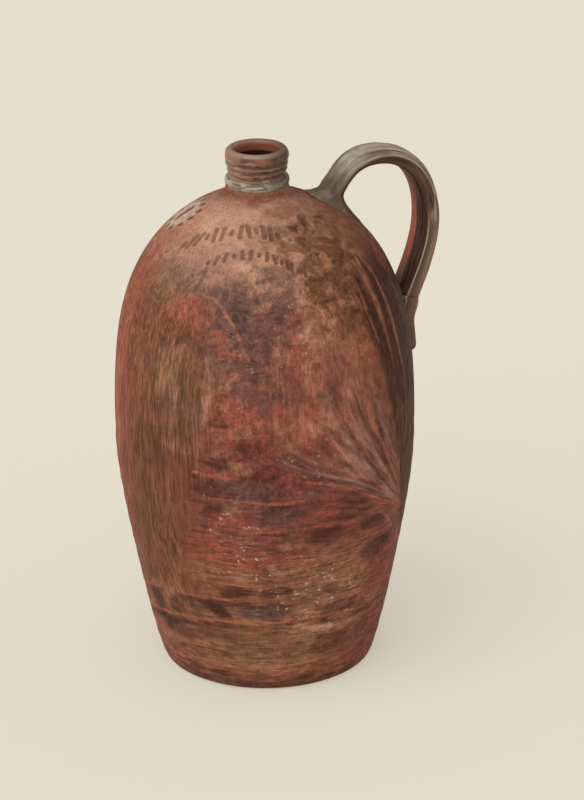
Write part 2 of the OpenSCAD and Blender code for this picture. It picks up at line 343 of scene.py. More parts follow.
class Wall:
    """Places on the jug's outside, with the brushes that paint and shape them."""

    def __init__(self, co):
        self.co = co
        z = co[:, 2]
        turn = np.degrees(np.arctan2(co[:, 1], co[:, 0] - axis_x(z)) - CAMERA_FACING)
        self.turn = (turn + 180) % 360 - 180
        self.height = z / MM
        self.radius = wall_radius(z) / MM
        self.along = wall_length(z) / MM
        self.arc = np.radians(self.turn) * BELLY_R / MM
        inner = np.interp(z, INNER[::-1, 1], INNER[::-1, 0])
        past_middle = np.hypot(co[:, 0], co[:, 1]) > (inner + wall_radius(z)) / 2
        self.outside = (past_middle & (z < SEAT - 0.3 * MM)).astype(float)

    def local(self, turn, height):
        """Offsets in millimetres along the wall, sideways and upwards from a place."""
        away = (self.turn - turn + 180) % 360 - 180
        up = self.along - wall_length(height * MM) / MM
        return np.radians(away) * self.radius, up

    def patch(self, turn, height, wide, tall, slant=0, soft=0.5):
        """1 in an oval patch, fading out round its edge."""
        x, y = self.local(turn, height)
        c, s = math.cos(math.radians(slant)), math.sin(math.radians(slant))
        q = np.hypot((x * c + y * s) / wide, (y * c - x * s) / tall)
        return ease((1 + soft - q) / (2 * soft))

    def line(self, points, steps=24):
        """Distance in millimetres to a smooth line through (turn, height), and the share along it."""
        points = np.array(points, float)
        knots = np.arange(len(points))
        at = np.linspace(0, len(points) - 1, steps + 1)
        turn, height = (smooth_through(knots, points[:, i], at) for i in (0, 1))
        x = np.radians(turn) * wall_radius(height * MM) / MM
        y = wall_length(height * MM) / MM
        px = np.radians(self.turn) * self.radius
        best = np.full(len(px), 1e9)
        share = np.zeros(len(px))
        for i in range(steps):
            dx, dy = x[i + 1] - x[i], y[i + 1] - y[i]
            t = np.clip(((px - x[i]) * dx + (self.along - y[i]) * dy) / (dx * dx + dy * dy), 0, 1)
            d = np.hypot(px - x[i] - t * dx, self.along - y[i] - t * dy)
            nearer = d < best
            best[nearer] = d[nearer]
            share[nearer] = ((i + t) / steps)[nearer]
        return best, share

    def stroke(self, points, width, ends=0.25):
        """1 on a brush stroke that thins out towards its ends."""
        distance, share = self.line(points)
        half = width / 2 * np.sqrt(np.clip(np.minimum(share, 1 - share) / ends, 0.02, 1))
        return ease(1.5 - distance / half / 1.2)


def smooth_through(knots, values, at):
    """A smooth curve through values at knots, each slope from the neighbours."""
    slopes = np.gradient(values) if len(values) > 2 else np.full(2, values[1] - values[0])
    i = np.clip(at.astype(int), 0, len(knots) - 2)
    t = at - i
    a, b, sa, sb = values[i], values[i + 1], slopes[i], slopes[i + 1]
    return a + sa * t + (3 * (b - a) - 2 * sa - sb) * t**2 + (2 * (a - b) + sa + sb) * t**3


# Washes of colour, soft at their edges: turn, height, half width, half height, slant, colour,
# strength
WASH_SOFTNESS = 0.6
WASHES = [
    # Painted light: the tan shoulder is paler at the upper left, and the sand washes close under the ring
    # lift the wall where the ring shades it
    (-14, 262, 70, 24, 0, TAN, 0.85),
    (-70, 262, 40, 20, 0, TAN, 0.7),
    (-8, 267, 36, 12, 0, SAND, 0.75),
    (0, 256, 22, 9, 0, SAND, 0.7),
    (-8, 274, 40, 8, 0, SAND, 0.6),
    (-56, 250, 20, 12, 0, HONEY, 0.5),
    (-40, 253, 32, 14, 0, LILAC, 0.4),
    (12, 250, 20, 13, 0, SAND, 0.45),
    (34, 248, 26, 24, 0, HONEY, 0.7),
    (66, 262, 50, 22, 0, EARTH, 0.75),
    (44, 250, 26, 24, 0, COPPER, 0.6),
    (24, 214, 34, 40, 0, RUST, 0.4),
    (8, 252, 20, 16, 0, TAN, 0.4),
    (-4, 222, 20, 34, -20, SLATE, 0.5),
    (-18, 244, 26, 9, 0, SLATE, 0.35),
    (-36, 190, 22, 26, 0, MOSS, 0.65),
    (-26, 162, 16, 14, 0, MOSS, 0.6),
    (-56, 240, 24, 14, 0, MOSS, 0.55),
    (-50, 118, 30, 54, 0, EARTH, 0.6),
    (-50, 160, 20, 14, 0, EARTH, 0.6),
    (34, 158, 22, 30, 30, MAUVE, 0.5),
    (2, 136, 48, 50, 0, OXBLOOD, 0.85),
    (-6, 174, 30, 12, 0, BRICK, 0.45),
    (2, 180, 36, 12, 0, CLAY, 0.25),
    (34, 146, 16, 14, 0, PINK, 0.22),
    (-24, 200, 14, 22, 0, CLAY, 0.2),
    (-60, 176, 12, 30, 0, CLAY, 0.25),
    (53, 154, 14, 22, 0, UMBER, 0.6),
    (-70, 26, 22, 22, 0, CLAY, 0.35),
    (20, 172, 26, 14, 10, RUST, 0.4),
    (-14, 94, 26, 12, 0, BRICK, 0.5),
    (22, 62, 34, 26, 0, HONEY, 0.55),
    (-20, 48, 50, 16, 0, HONEY, 0.35),
    (-38, 44, 30, 14, 0, TAN, 0.3),
    (-6, 24, 34, 14, 0, TAN, 0.3),
    (-22, 80, 24, 10, 0, HONEY, 0.4),
    (-54, 30, 44, 26, 0, CHESTNUT, 0.35),
    (10, 22, 50, 14, 0, HONEY, 0.35),
    (-76, 176, 16, 88, 0, RUST, 0.9),
    (-80, 170, 8, 30, 0, CLAY, 0.6),
    (64, 50, 30, 46, 0, OXBLOOD, 0.6),
    (150, 200, 60, 60, 0, UMBER, 0.6),
    (-150, 190, 55, 55, 0, RUST, 0.5),
    (-120, 120, 40, 60, 0, CHESTNUT, 0.6),
    (180, 120, 60, 50, 0, OXBLOOD, 0.7),
    (130, 90, 40, 50, 0, HONEY, 0.5),
    (-170, 245, 70, 24, 0, TAN, 0.6),
    (-160, 50, 70, 36, 0, HONEY, 0.4),
]

# Edge of the dark side, from the shoulder to the foot, where the glaze ran thick and painted shade darkens
# it further
DARK_EDGE = [
    (60, 262), (54, 250), (45, 236), (48, 215), (52, 190), (57, 165), (61, 140), (65, 112),
    (70, 88), (84, 60),
]
DARK_END = 132

# The lobe where a drop of thicker glaze slid down
LOBE_RIM = [
    (-54, 200), (-51, 220), (-43, 234), (-30, 239.5), (-19, 236), (-12, 225), (-6, 210), (1, 196),
    (8, 184),
]
# Painted highlight: a pale line along the top of the lobe's rim
LOBE_HIGHLIGHT = [(-50, 221), (-43, 234), (-30, 239.5), (-20, 237), (-12.5, 227), (-8, 215), (-4, 206)]

# Wisps that run together at one place on the right
MEET = (68, 103)
WISPS = [
    ([(3, 180), (7, 166), (13, 155), (22, 146)], 3.4, LILAC, 0.4),
    ([(16, 184), (21, 164), (28, 150), (38, 138)], 3.4, CHESTNUT, 0.5),
    ([(23, 188), (29, 166), (37, 147), (48, 128), (60, 111), MEET], 4.6, LILAC, 0.6),
    ([(20, 182), (26, 162), (34, 144), (45, 126)], 1.6, PINK, 0.3),
    ([(8, 156), (20, 143), (34, 131), (50, 117)], 1.4, LILAC, 0.6),
    ([(27, 186), (33, 165), (41, 146), (50, 128), (61, 112)], 2.6, UMBER, 0.7),
    ([(30, 192), (36, 168), (44, 149), (53, 129), (64, 110)], 3.2, LILAC, 0.6),
    ([(35, 190), (41, 165), (50, 144), (59, 123)], 3.4, UMBER, 0.75),
    ([(37, 196), (43, 170), (51, 147), (58, 127), (66, 110)], 2.6, CLAY, 0.6),
    ([(44, 192), (49, 168), (56, 143), (64, 118)], 3.4, LILAC, 0.4),
    ([(4, 154), (16, 144), (30, 136), (42, 127), (54, 115), (64, 106)], 2.6, LILAC, 0.75),
    ([(10, 148), (22, 139.5), (34, 132), (44, 124), (56, 113)], 2.4, DEEP_BROWN, 0.7),
    ([(12, 139), (28, 133), (42, 122), (54, 112), MEET], 1.6, CLAY, 0.6),
    ([(50, 108), (58, 98), (66, 84)], 2.2, LILAC, 0.5),
    ([(46, 116), (56, 109), (64, 104), (70, 101)], 4.0, BRICK, 0.6),
]

# Light runs on the dark side
DRIPS = [
    ([(54, 250), (56.5, 232), (58, 212), (60, 192)], 2.8, RUNNY, 0.8),
    ([(63.5, 246), (64.2, 226), (65.5, 205), (67.5, 182)], 2.6, RUNNY, 0.75),
    ([(49, 240), (50, 222), (53, 204)], 1.4, RUNNY, 0.6),
    ([(44, 240), (46, 222), (50, 206)], 2.4, UMBER, 0.8),
    ([(50, 246), (52, 226), (55, 206)], 3.4, DEEP_BROWN, 0.8),
    ([(59, 252), (61, 230), (62.5, 208)], 4.2, DEEP_BROWN, 0.8),
    ([(78, 246), (78.5, 220), (80, 196)], 3.2, EARTH, 0.5),
    ([(96, 222), (98, 190), (99, 160)], 4.2, EARTH, 0.8),
    ([(126, 240), (128, 200), (127, 168)], 6.0, RUST, 0.6),
    ([(150, 246), (152, 215), (151, 190)], 5.0, DEEP_BROWN, 0.6),
    ([(-140, 238), (-143, 205), (-141, 176)], 6.0, UMBER, 0.6),
    ([(-165, 232), (-166, 200), (-168, 160)], 5.0, DEEP_BROWN, 0.5),
]

# Lines where the fingers or the rib bit into the wall
RINGS = [
    ([(-82, 48), (-62, 55), (-45, 59.5), (-27, 61.5), (-8, 62.5), (12, 61), (30, 60), (48, 57.5)], 1.5, 0.8),
    ([(-80, 33), (-62, 39.5), (-41, 44), (-20, 47), (0, 47), (16, 49), (42, 46.5), (60, 44)], 1.5, 0.85),
    ([(-27, 73), (-12, 72.5), (10, 71.5), (23, 73), (45, 71.5)], 1.2, 0.7),
    ([(-29, 142.5), (-20, 141.5), (-8, 140.5)], 1.5, 0.85),
    ([(-30, 127), (-12, 127.5), (6, 126), (16, 127)], 1.3, 0.7),
    ([(-26, 111.5), (-12, 109), (4, 108.5), (16, 109.5), (28, 108)], 1.2, 0.7),
    ([(-27, 152), (-18, 150), (-6, 151.5)], 1.1, 0.5),
    ([(20, 93), (36, 93.5), (56, 91)], 1.1, 0.45),
    ([(-66, 12), (-40, 13.5), (-10, 12), (20, 11), (46, 11.5)], 1.4, 0.8),
    ([(100, 60), (130, 62), (160, 60), (178, 61)], 1.4, 0.6),
    ([(-178, 44), (-150, 46), (-120, 43), (-95, 41)], 1.4, 0.6),
    ([(105, 128), (135, 130), (165, 127)], 1.2, 0.5),
]

# Blots between the rings, with sharper edges, in the same way
BLOT_SOFTNESS = 0.3
BLOTS = [
    (-60, 48, 9, 6, -14, DEEP_BROWN, 0.85),
    (-45, 50.5, 7, 6, -10, UMBER, 0.9),
    (-23, 54, 10, 4, -24, DEEP_BROWN, 0.9),
    (-12, 68, 10, 4, 0, DEEP_BROWN, 0.8),
    (4, 67.5, 10, 3.6, 4, DEEP_BROWN, 0.8),
    (0, 55, 15, 5, 0, SLATE, 0.85),
    (-34, 54, 8, 4, -10, UMBER, 0.7),
    (-54, 38, 9, 3.4, -12, DEEP_BROWN, 0.6),
    (16, 60, 8, 3, 6, DEEP_BROWN, 0.6),
    (34, 53.5, 12, 4.4, 4, DEEP_BROWN, 0.7),
    (31, 66.5, 12, 4, 0, UMBER, 0.75),
    (-30, 46, 12, 3, -8, UMBER, 0.7),
    (52, 84, 15, 7, 0, DEEP_BROWN, 0.7),
    (47, 102, 12, 4.4, -6, DEEP_BROWN, 0.7),
    (24, 102, 12, 5.5, 0, DEEP_BROWN, 0.7),
    (4, 119, 17, 6.4, 0, SLATE, 0.75),
    (2, 103, 12, 5, 0, SLATE, 0.6),
    (-6, 134.5, 19, 5.6, 0, SLATE, 0.75),
    (-22, 133, 9, 5, 8, DEEP_BROWN, 0.7),
    (-2, 143, 12, 4, 0, DEEP_BROWN, 0.5),
    (-18, 149, 11, 3.4, 0, DEEP_BROWN, 0.8),
    (-20, 119, 8, 5, 0, DEEP_BROWN, 0.5),
    (38, 116, 11, 7, 0, UMBER, 0.8),
    (20, 132, 8, 4, 0, SLATE, 0.5),
    (31, 30, 14, 8, 8, UMBER, 0.85),
    (-50, 35, 18, 6, -8, DEEP_BROWN, 0.6),
    (-26, 38, 14, 4.6, 0, DEEP_BROWN, 0.6),
    (4, 39, 10, 4, 0, UMBER, 0.6),
    (-12, 27, 13, 8, 0, MOSS, 0.6),
    (-30, 5, 34, 3, 0, SLATE, 0.6),
    (20, 4.5, 34, 3, 0, UMBER, 0.6),
    (-17, 172, 8, 2.2, 0, DEEP_BROWN, 0.6),
    (-8, 168, 8, 5, 0, HONEY, 0.6),
    (-9, 147, 7, 4, 0, HONEY, 0.7),
    (8, 160, 8, 5, 20, HONEY, 0.4),
    (-32, 231, 19, 6, 0, TERRACOTTA, 0.6),
    # Painted shade under the arch of the lobe's rim
    (-30, 217, 15, 6, -10, UMBER, 0.5),
    (-16, 218, 12, 8, -34, CLAY, 0.25),
    (-40, 219, 9, 6, 30, EARTH, 0.5),
    (-12, 206, 8, 9, -40, RUST, 0.3),
    (-30, 200, 4, 16, 0, HONEY, 0.5),
    (-22, 196, 3, 16, 0, TAN, 0.4),
    (-44, 192, 5, 14, 0, HONEY, 0.4),
    (-64, 205, 6, 30, 0, EARTH, 0.5),
    (-68, 150, 5, 40, 0, CHESTNUT, 0.5),
    (-30, 90, 10, 8, 0, CHESTNUT, 0.4),
    (40, 72, 14, 10, 0, HONEY, 0.5),
    (14, 40, 12, 8, 0, TAN, 0.35),
    (-14, 112, 12, 7, 0, BRICK, 0.6),
    (12, 90, 14, 6, 0, BRICK, 0.5),
    (2, 104, 8, 5, 0, BRICK, 0.5),
    (-8, 124, 7, 4, 0, BRICK, 0.5),
    (4, 236, 8, 5, 20, TAN, 0.5),
    (48, 246, 9, 9, 30, UMBER, 0.5),
    (34, 274, 12, 5, 0, NUT, 0.55),
    (24, 268, 12, 4, 0, EARTH, 0.3),
    (22, 256, 7, 5, 0, TAN, 0.5),
    (19, 243, 9, 5, -20, TAN, 0.5),
    (27, 228, 8, 5, 10, TAN, 0.4),
    (-4, 178, 14, 8, 0, CLAY, 0.4),
    (-40, 176, 5, 9, 0, SLATE, 0.35),
    (-30, 183, 6, 8, 0, SLATE, 0.35),
    (-45, 168, 8, 4, 10, RUST, 0.45),
    (-24, 176, 9, 3, 10, TAN, 0.5),
    (-34, 156, 10, 4, 0, TAN, 0.3),
    (-58, 150, 8, 10, 0, UMBER, 0.4),
    (-46, 146, 8, 8, 0, UMBER, 0.35),
    (4, 172, 14, 3, 4, HONEY, 0.5),
    (20, 168, 12, 4, -6, TAN, 0.4),
    (-4, 160, 12, 3, 0, DEEP_BROWN, 0.4),
    (18, 222, 8, 6, 20, PINK, 0.35),
    (28, 208, 6, 12, -14, PINK, 0.3),
    (12, 206, 8, 6, 0, RUST, 0.5),
    (36, 224, 8, 12, -10, UMBER, 0.45),
    (120, 150, 20, 8, 10, DEEP_BROWN, 0.6),
    (150, 70, 24, 7, 0, DEEP_BROWN, 0.6),
    (-130, 60, 20, 6, -6, DEEP_BROWN, 0.6),
    (-110, 200, 12, 26, 0, CHESTNUT, 0.5),
    (170, 220, 26, 14, 10, SLATE, 0.6),
    (-175, 90, 30, 9, 0, BRICK, 0.6),
]

# Dark crusts on the right of the shoulder: how many, between which turns and heights, how big
CRUSTS = 40
CRUST_TURNS = (26, 60)
CRUST_HEIGHTS = (224, 272)
CRUST_SIZES = (1.3, 4.2)

# Where the glaze broke into flecks of other colours: turn, height, half width, half height,
# strength
OLIVE_FLECKS = [
    (38, 246, 30, 34, 1.0), (-34, 186, 26, 34, 0.8), (14, 214, 30, 26, 0.5), (-50, 110, 34, 60, 0.45),
    (10, 84, 50, 14, 0.5), (24, 46, 44, 30, 0.6), (-20, 24, 40, 18, 0.5), (4, 166, 20, 14, 0.6),
    (150, 180, 60, 70, 0.5), (-140, 120, 60, 80, 0.5),
]
TAN_FLECKS = [
    (-20, 258, 60, 24, 0.7), (18, 216, 32, 32, 0.6), (-24, 184, 24, 24, 0.5), (24, 176, 24, 14, 0.5),
    (-16, 128, 14, 34, 0.4), (14, 84, 36, 14, 0.6), (26, 54, 36, 26, 0.8), (0, 100, 20, 10, 0.4),
    (-60, 40, 30, 30, 0.35), (170, 200, 60, 60, 0.6), (-150, 60, 60, 40, 0.5),
]
SLATE_FLECKS = [
    (-6, 226, 24, 34, 1.0), (-22, 246, 26, 9, 0.7), (4, 196, 22, 22, 0.8), (2, 128, 36, 34, 0.6),
    (-34, 172, 14, 12, 0.5), (-4, 46, 40, 24, 0.5), (30, 196, 12, 16, 0.4), (-170, 200, 50, 40, 0.6),
    (-8, 112, 24, 10, 0.6), (10, 146, 24, 12, 0.7),
]
RED_FLECKS = [
    (16, 206, 30, 32, 0.36), (0, 170, 40, 14, 0.6), (4, 128, 44, 40, 0.45), (-10, 94, 36, 14, 0.55),
    (-76, 170, 20, 90, 0.5), (60, 60, 30, 50, 0.6), (160, 120, 60, 60, 0.7),
]
# Where light specks lie, in the same way
SPECKLES = [
    (24, 60, 36, 26, 1), (-14, 112, 18, 24, 0.8), (0, 84, 26, 14, 0.8),
    (150, 60, 50, 26, 0.4), (4, 216, 30, 30, 0.4), (20, 150, 24, 24, 0.35),
]

# Rows of notches rolled into the shoulder: each row's line, and its notches' count, length and
# width
NOTCH_ROWS = [
    ([(-56, 257.5), (-45, 263), (-31, 266.5), (-13, 268.5), (3, 268.5), (16, 266)], 13, 11, 2.3),
    ([(-33, 253.5), (-22, 257.5), (-10, 259.5), (2, 259), (12, 256), (18, 252.5)], 12, 6.5, 1.9),
]
# Round punches beside them: turn, height and width
PUNCHES = [(21, 264.5, 2), (-64, 252.5, 2), (23, 249, 1.8), (34, 257, 1.9)]

# Capacity mark: one stroke in a ring of dashes, rolled into the left of the shoulder
MARK = (-91, 266.5)
MARK_RADIUS = 13
MARK_REACH = 17
MARK_DASHES = 11
MARK_STROKE = 15


def from_mark(wall):
    """Distance in millimetres from the middle of the capacity mark."""
    return np.hypot(*wall.local(*MARK))


def stadium(x, y, length, width):
    """1 inside a bar with round ends, along y, that is length by width."""
    over = np.maximum(np.abs(y) - (length - width) / 2, 0)
    return ease((1.35 - np.hypot(x, over) / (width / 2)) / 0.7)


def bar(wall, turn, height, length, width, lean, aside=0, up=0):
    """A bar pressed into the wall at a place, leaning by some degrees."""
    x, y = wall.local(turn, height)
    x, y = x - aside, y - up
    c, s = math.cos(math.radians(lean)), math.sin(math.radians(lean))
    return stadium(x * c - y * s, x * s + y * c, length, width)


def mark_bars():
    """The capacity mark's stroke and dashes: sideways, upwards, length, width and lean."""
    bars = [(0, 0, MARK_STROKE, 5.4, 0)]
    for i in range(MARK_DASHES):
        a = math.tau * (i + 0.5) / MARK_DASHES
        bars.append((MARK_RADIUS * math.sin(a), MARK_RADIUS * math.cos(a), 4.4, 4, 90 + math.degrees(a)))
    return bars


def pressed_marks(wall):
    """How deep each place is pressed by the notches, the punches and the mark, from 0 to 1."""
    depth = np.zeros(len(wall.co))
    rng = random.Random(7)
    for points, count, length, width in NOTCH_ROWS:
        points = np.array(points, float)
        at = (np.arange(count) + 0.5) / count * (len(points) - 1)
        turns, heights = (smooth_through(np.arange(len(points)), points[:, i], at) for i in (0, 1))
        for k, (turn, height) in enumerate(zip(turns, heights)):
            size = length if k % 3 else length * 0.45
            lean = 10 * math.sin(k * 1.3) + rng.uniform(-3, 3)
            depth = np.maximum(depth, bar(wall, turn, height, size, width, lean))
    for turn, height, width in PUNCHES:
        depth = np.maximum(depth, bar(wall, turn, height, width * 1.05, width, 0))
    for aside, up, length, width, lean in mark_bars():
        depth = np.maximum(depth, bar(wall, *MARK, length, width, lean, aside, up))
    return depth


def lit_edges(wall):
    """1 along the lower right edges of the pressed marks, where the clay was pushed up and a highlight is
    painted.
    """
    moved = Wall(wall.co)
    moved.turn = wall.turn - 0.9
    moved.along = wall.along + 1.1
    return np.clip(pressed_marks(moved) - wall.marks, 0, 1)


def near_marks(co):
    wall = Wall(co)
    near = from_mark(wall) < MARK_REACH
    for points, _, length, _ in NOTCH_ROWS:
        near |= wall.line(points)[0] < length / 2 + 2
    for turn, height, width in PUNCHES:
        x, y = wall.local(turn, height)
        near |= np.hypot(x, y) < width + 1
    return near & (wall.outside > 0)


def on_front(co):
    wall = Wall(co)
    front = (wall.turn > np.where(wall.height > 245, -103, -92)) & (wall.turn < 78)
    return front & (wall.height > 3) & (wall.height < 274) & (wall.outside > 0)


def dark_side(wall):
    """1 on the dark side of the wall, right of its edge and up to the back: thick glaze with painted shade.
    """
    edge = np.array(DARK_EDGE[::-1], float)
    start = np.interp(wall.height, edge[:, 1], edge[:, 0])
    right = ease(((wall.turn - start) * 1.48 + 3) / 6)
    top = ease((256 + 7 * np.sin(wall.turn / 5) - wall.height) / 24)
    ends = ease((wall.height - 34 - 14 * np.sin(wall.turn / 9)) / 66) * top
    return right * ease((DARK_END - wall.turn) / 22) * ends


def lobe(wall):
    """1 inside the lobe, with its rim as a separate share."""
    distance, _ = wall.line(LOBE_RIM)
    rim = np.array(LOBE_RIM, float)
    top = rim[:, 1].argmax()
    left = np.interp(wall.height, rim[:top + 1, 1], rim[:top + 1, 0])
    right = np.interp(wall.height, rim[:top - 1:-1, 1], rim[:top - 1:-1, 0])
    within = (wall.turn > left) & (wall.turn < right)
    within &= (wall.height < rim[top, 1]) & (wall.height > rim[-1, 1])
    return np.where(within, ease(distance / 4), 0), ease(1.4 - distance / 1.5)


def paint_wall(wall):
    """The colours under the fine grain, laid on as washes, blots and strokes."""
    drift = wobble(wall.co, 0.011, 1)
    sway = wobble(wall.co, 0.011, 2)
    loose = Wall(wall.co)
    loose.turn = wall.turn + drift * 2.4
    loose.along = wall.along + sway * 3.2
    loose.height = wall.height + sway * 3.2
    colour = np.tile(linear(CHESTNUT), (len(wall.co), 1))

    def lay(tint, cover):
        nonlocal colour
        cover = np.clip(cover, 0, 1)[:, None]
        colour = colour * (1 - cover) + np.array(linear(tint)) * cover

    for *place, tint, strength in WASHES:
        lay(tint, strength * loose.patch(*place, WASH_SOFTNESS))
    # Painted shade: the dark side, in near-black brown
    lay(DEEP_BROWN, dark_side(loose) * (0.75 + 0.2 * ease((wall.height - 140) / 60)))
    for *place, tint, strength in BLOTS:
        lay(tint, strength * loose.patch(*place, BLOT_SOFTNESS))
    rng = random.Random(12)
    for _ in range(CRUSTS):
        turn, height = rng.uniform(*CRUST_TURNS), rng.uniform(*CRUST_HEIGHTS)
        size = rng.uniform(*CRUST_SIZES)
        slant = rng.uniform(-50, 50)
        lay(CRUST, 0.75 * loose.patch(turn, height, size * 1.7, size, slant, BLOT_SOFTNESS))
    inside, rim = lobe(wall)
    lay(TERRACOTTA, 0.45 * inside * ease((wall.height - 212) / 16))
    lay(HONEY, 0.35 * rim * ease((wall.height - 200) / 20))
    # Painted highlight along the lobe's rim
    lay(PINK, 0.27 * loose.stroke(LOBE_HIGHLIGHT, 1.1, 0.7))
    for strokes, ends in ((WISPS, 0.7), (DRIPS, 0.5)):
        for points, width, tint, strength in strokes:
            lay(tint, strength * wall.stroke(points, width, ends))
    for points, width, strength in RINGS:
        # Painted shade: a dark band laid under each ring line
        lower = [(turn, height - width * 1.7) for turn, height in points]
        lay(DEEP_BROWN, strength * wall.stroke(lower, width * 2.6) * ease(0.55 + 1.3 * drift))
        lay(CLAY, strength * wall.stroke(points, width) * ease(0.8 + sway))
    lay(ASH, 0.75 * ease((MARK_RADIUS + 3 - from_mark(wall)) / 5))
    # Painted highlight: pink along the lit edges of the pressed marks
    lay(PINK, 0.55 * lit_edges(wall))
    return colour


# Relief in millimetres: how deep marks and rings go, and how far the other strokes stand out
NOTCH_DEPTH = 0.9
RING_DEPTH = 0.4
EDGE_LIFT = 0.3
WISP_LIFT = 0.16
DRIP_LIFT = 0.35
LOBE_LIFT = 0.35


def shape_wall(wall):
    """Relief of the wall in millimetres, out of the clay or into it."""
    relief = 0.25 * wobble(wall.co, 0.045, 3) + 0.12 * wobble(wall.co, 0.016, 4)
    low_wall = ease((150 - wall.height) / 40)
    comb = np.sin(wall.height * 1.9 + wall.turn * 0.0174 + 2 * wobble(wall.co, 0.05, 5))
    relief += 0.05 * low_wall * comb
    for points, width, strength in RINGS:
        relief -= RING_DEPTH * strength * wall.stroke(points, width * 1.6)
    for points, width, _, strength in WISPS:
        relief += WISP_LIFT * strength * wall.stroke(points, width)
    for points, width, _, strength in DRIPS:
        relief += DRIP_LIFT * strength * wall.stroke(points, width * 1.1)
    inside, _ = lobe(wall)
    relief += LOBE_LIFT * inside * ease((wall.height - 186) / 25)
    relief += EDGE_LIFT * lit_edges(wall) - NOTCH_DEPTH * wall.marks
    return relief * wall.outside * ease(wall.height / 3) * ease((277 - wall.height) / 4)


def brush_lay(wall):
    """Which way the fine strokes lie: upright, level, or running together to one place."""
    level = ease((150 - wall.height) / 60) * ease((wall.turn + 40) / 14)
    level = np.maximum(level, ease((62 - wall.height) / 20))
    fan = ease((wall.turn - 6) / 14) * ease((88 - wall.turn) / 10) * ease((212 - wall.height) / 30)
    fan = fan * ease((wall.height - 96) / 16)
    left = ease((-wall.turn - 8) / 24)
    upright = np.maximum(left, 0.6 * wall.patch(22, 192, 36, 36)) * (1 - level)
    upright = np.maximum(upright, dark_side(wall))
    return np.c_[upright, level * (1 - fan), fan]


def brushed(wall):
    """1 where a stroke or a ring's line lies on top, so that no fleck covers it."""
    top = wall.stroke(LOBE_HIGHLIGHT, 2)
    for points, width, *_ in WISPS + DRIPS + RINGS:
        top = np.maximum(top, wall.stroke(points, width, 0.5))
    for *place, tint, _ in BLOTS:
        if tint in (DEEP_BROWN, UMBER, SLATE) and place[1] < 180:
            top = np.maximum(top, wall.patch(*place, BLOT_SOFTNESS))
    return top


def share_of(wall, patches):
    """The strongest of some soft patches at each place."""
    shares = [strength * wall.patch(*place, 0, WASH_SOFTNESS) for *place, strength in patches]
    return np.max(shares, axis=0) * (1 - 0.85 * dark_side(wall)) * (1 - 0.85 * wall.top)


def blotchy(wall):
    """How red-flecked, how speckled and how burnt a place is."""
    speckle = sum(strength * wall.patch(*place) for *place, strength in SPECKLES)
    burnt = wall.marks * np.where(from_mark(wall) < MARK_REACH, 1, 0.6)
    return np.c_[share_of(wall, RED_FLECKS), np.clip(speckle, 0, 1), burnt]


def tinted(wall):
    kinds = (OLIVE_FLECKS, TAN_FLECKS, SLATE_FLECKS)
    return np.stack([share_of(wall, patches) for patches in kinds], axis=1)


# Where the body's outline turns from the belly into the shoulder, and steps round the wheel
SHOULDER_FOOT = 0.245
BODY_STEPS = 150
NECK_STEPS = 144


def round_off(obj):
    """Brings the points of cut faces out to the true round of the wall."""
    wall = Wall(points_of(obj))
    co = wall.co
    centre = axis_x(co[:, 2])
    on_wall = (wall.outside > 0) & (wall.height > 1.5) & (co[:, 2] < SEAT - 7 * MM)
    x = co[:, 0] - centre
    stretch = np.where(on_wall, wall.radius * MM / np.maximum(np.hypot(x, co[:, 1]), MM), 1)
    co[:, 0] = centre + x * stretch
    co[:, 1] *= stretch
    move_points(obj, co)


def make_body():
    """The thrown body: outside, seat for the neck, hole and hollow inside, in one wall."""
    foot_r = OUTER[0, 0]
    heel = [(foot_r - 2.5 * MM, 0), (foot_r - 0.8 * MM, 0.15 * MM), (foot_r, 0.9 * MM)]
    belly = OUTER[(OUTER[:, 1] > 1.2 * MM) & (OUTER[:, 1] < SHOULDER_FOOT)]
    shoulder = OUTER[OUTER[:, 1] >= SHOULDER_FOOT]
    inside = INNER[INNER[:, 1] > FLOOR + 0.5 * MM]
    profile = [
        *spread([(0, 0), heel[0]], 3 * MM)[:-1], *spread(heel, 0.7 * MM),
        *spread(belly, 3.3 * MM), *spread(shoulder, 2.2 * MM),
        (shoulder[-1, 0] - 0.2 * MM, SEAT), (HOLE_R, SEAT), (HOLE_R, hole_foot),
        *spread(inside, 8 * MM), *spread([(inside[-1, 0] - 2 * MM, FLOOR), (0, FLOOR)], 14 * MM),
    ]
    obj = turned("body_clay", profile, BODY_STEPS)
    co = points_of(obj)
    co[:, 0] += axis_x(co[:, 2])
    move_points(obj, co)
    subdivide_where(obj, on_front, 2)
    subdivide_where(obj, near_marks, 1)
    round_off(obj)
    wall = Wall(points_of(obj))
    wall.marks = pressed_marks(wall)
    wall.top = brushed(wall)
    store(obj, "wash", np.c_[paint_wall(wall), np.ones(len(wall.co))], "FLOAT_COLOR", "color")
    store(obj, "lay", brush_lay(wall))
    store(obj, "fleck", blotchy(wall))
    store(obj, "tints", tinted(wall))
    store(obj, "spread", np.c_[wall.arc, wall.height, wall.outside] * (MM, MM, 1))
    relief = shape_wall(wall)
    move_points(obj, wall.co + normals_of(obj) * (relief * MM)[:, None])
    return obj


def felt_outline(node, step):
    """Outside of a CAD node turned round the neck's axis, as (radius, height) points."""
    low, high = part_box(node)
    return [(felt_radius(node, NECK_X, z), float(z)) for z in np.arange(low.z + 0.05 * MM, high.z, step)]


def press_out(obj, push):
    """Moves a turned piece's points away from its axis, and then puts the axis on the neck's."""
    co = points_of(obj)
    out = co[:, :2] / np.linalg.norm(co[:, :2], axis=1)[:, None]
    co[:, :2] += out * push[:, None]
    move_points(obj, co)
    co = points_of(obj)
    co[:, 0] += NECK_X
    move_points(obj, co)


